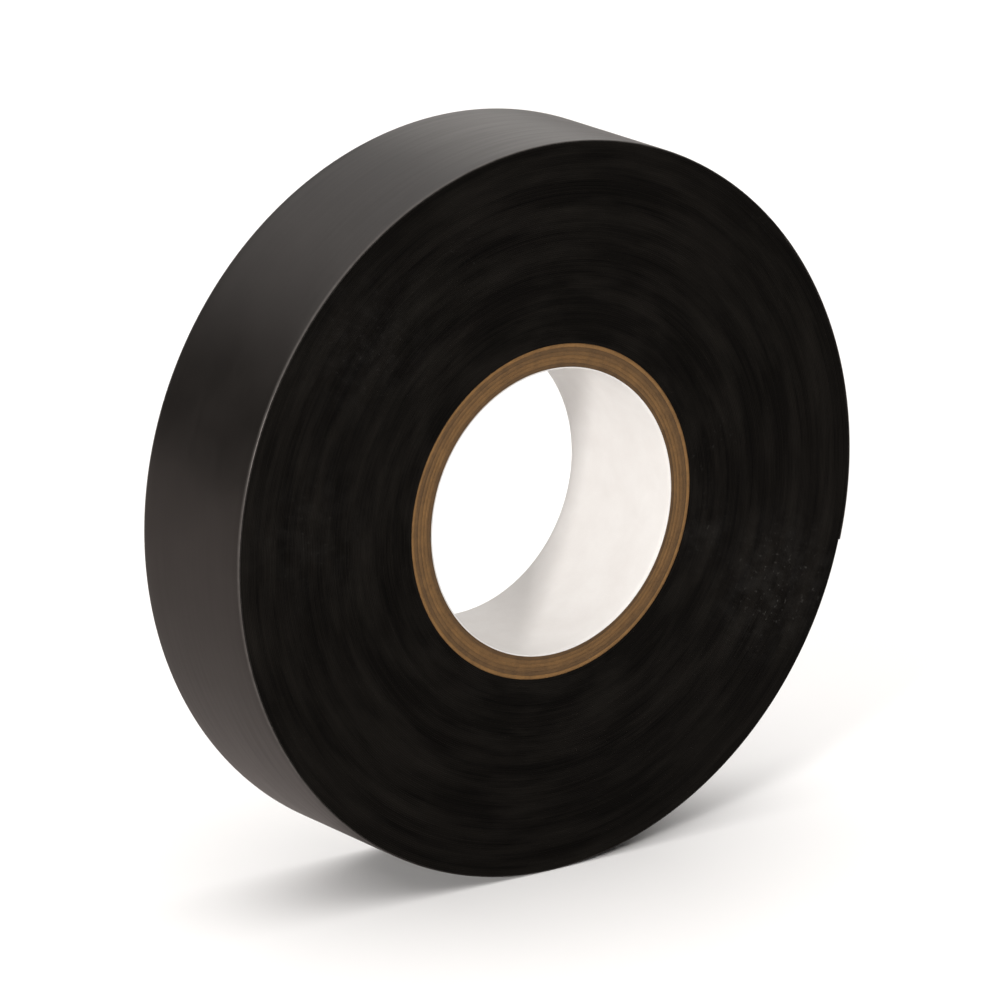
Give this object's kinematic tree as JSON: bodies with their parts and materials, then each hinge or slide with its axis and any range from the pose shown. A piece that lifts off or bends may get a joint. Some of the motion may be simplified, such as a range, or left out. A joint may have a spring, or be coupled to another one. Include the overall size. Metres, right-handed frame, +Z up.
{
  "type": "electrical tape roll",
  "caption": "Roll of black vinyl electrical tape wound on a white-lined kraft paper core, with a free end that peels off the rim.",
  "frame": {"origin": "centre of the core's bore, midway between the roll's two sides", "axes": "+Y along the roll's axis, +Z up, +X across; the roll stands on its rim, and its free end is on the +X side"},
  "size_m": [0.0849, 0.019, 0.0849],
  "materials": {
    "vinyl_tape": "satin black vinyl film with a rubber adhesive on its inner face",
    "kraft_board": "raw kraft board, cut edges",
    "liner_paper": "smooth white paper"
  },
  "bodies": {
    "roll": {"core_liner": "liner_paper", "core_ply_1": "kraft_board", "core_ply_2": "kraft_board", "core_ply_3": "kraft_board", "core_ply_4": "kraft_board", "core_ply_5": "kraft_board", "core_ply_6": "kraft_board", "wound_tape": "vinyl_tape"},
    "tail_1": {"free_end_1": "vinyl_tape"},
    "tail_2": {"free_end_2": "vinyl_tape"},
    "tail_3": {"free_end_3": "vinyl_tape"},
    "tail_4": {"free_end_4": "vinyl_tape"},
    "tail_5": {"free_end_5": "vinyl_tape"},
    "tail_6": {"free_end_6": "vinyl_tape"},
    "tail_7": {"free_end_7": "vinyl_tape"},
    "tail_8": {"free_end_8": "vinyl_tape"},
    "tail_9": {"free_end_9": "vinyl_tape"},
    "tail_10": {"free_end_10": "vinyl_tape"},
    "tail_11": {"free_end_11": "vinyl_tape"},
    "tail_12": {"free_end_12": "vinyl_tape"}
  },
  "joints": [
    {"name": "tail_peel", "type": "hinge", "parent": "roll", "child": "tail_1", "pos_m": [0.03258, 0, 0.02729], "axis": [0, -1, 0], "range_deg": [0, 36]},
    {"name": "tail_bend_2", "type": "hinge", "parent": "tail_1", "child": "tail_2", "pos_m": [0.03462, 0, 0.02465], "axis": [0, -1, 0], "range_deg": [0, 18]},
    {"name": "tail_bend_3", "type": "hinge", "parent": "tail_2", "child": "tail_3", "pos_m": [0.03645, 0, 0.02186], "axis": [0, -1, 0], "range_deg": [0, 12.6]},
    {"name": "tail_bend_4", "type": "hinge", "parent": "tail_3", "child": "tail_4", "pos_m": [0.03805, 0, 0.01893], "axis": [0, -1, 0], "range_deg": [0, 9]},
    {"name": "tail_bend_5", "type": "hinge", "parent": "tail_4", "child": "tail_5", "pos_m": [0.03943, 0, 0.01589], "axis": [0, -1, 0], "range_deg": [0, 7.2]},
    {"name": "tail_bend_6", "type": "hinge", "parent": "tail_5", "child": "tail_6", "pos_m": [0.04055, 0, 0.01275], "axis": [0, -1, 0], "range_deg": [0, 7.2]},
    {"name": "tail_bend_7", "type": "hinge", "parent": "tail_6", "child": "tail_7", "pos_m": [0.04143, 0, 0.00953], "axis": [0, -1, 0], "range_deg": [0, 7.2]},
    {"name": "tail_bend_8", "type": "hinge", "parent": "tail_7", "child": "tail_8", "pos_m": [0.04205, 0, 0.00625], "axis": [0, -1, 0], "range_deg": [0, 7.2]},
    {"name": "tail_bend_9", "type": "hinge", "parent": "tail_8", "child": "tail_9", "pos_m": [0.04242, 0, 0.00293], "axis": [0, -1, 0], "range_deg": [0, 7.2]},
    {"name": "tail_bend_10", "type": "hinge", "parent": "tail_9", "child": "tail_10", "pos_m": [0.04252, 0, -0.0004], "axis": [0, -1, 0], "range_deg": [0, 7.2]},
    {"name": "tail_bend_11", "type": "hinge", "parent": "tail_10", "child": "tail_11", "pos_m": [0.04236, 0, -0.00374], "axis": [0, -1, 0], "range_deg": [0, 7.2]},
    {"name": "tail_bend_12", "type": "hinge", "parent": "tail_11", "child": "tail_12", "pos_m": [0.04194, 0, -0.00705], "axis": [0, -1, 0], "range_deg": [0, 7.2]}
  ],
  "couplings": [
    {"joint": "tail_bend_2", "follows": "tail_peel", "ratio": 0.5},
    {"joint": "tail_bend_3", "follows": "tail_peel", "ratio": 0.35},
    {"joint": "tail_bend_4", "follows": "tail_peel", "ratio": 0.25},
    {"joint": "tail_bend_5", "follows": "tail_peel", "ratio": 0.2},
    {"joint": "tail_bend_6", "follows": "tail_peel", "ratio": 0.2},
    {"joint": "tail_bend_7", "follows": "tail_peel", "ratio": 0.2},
    {"joint": "tail_bend_8", "follows": "tail_peel", "ratio": 0.2},
    {"joint": "tail_bend_9", "follows": "tail_peel", "ratio": 0.2},
    {"joint": "tail_bend_10", "follows": "tail_peel", "ratio": 0.2},
    {"joint": "tail_bend_11", "follows": "tail_peel", "ratio": 0.2},
    {"joint": "tail_bend_12", "follows": "tail_peel", "ratio": 0.2}
  ]
}
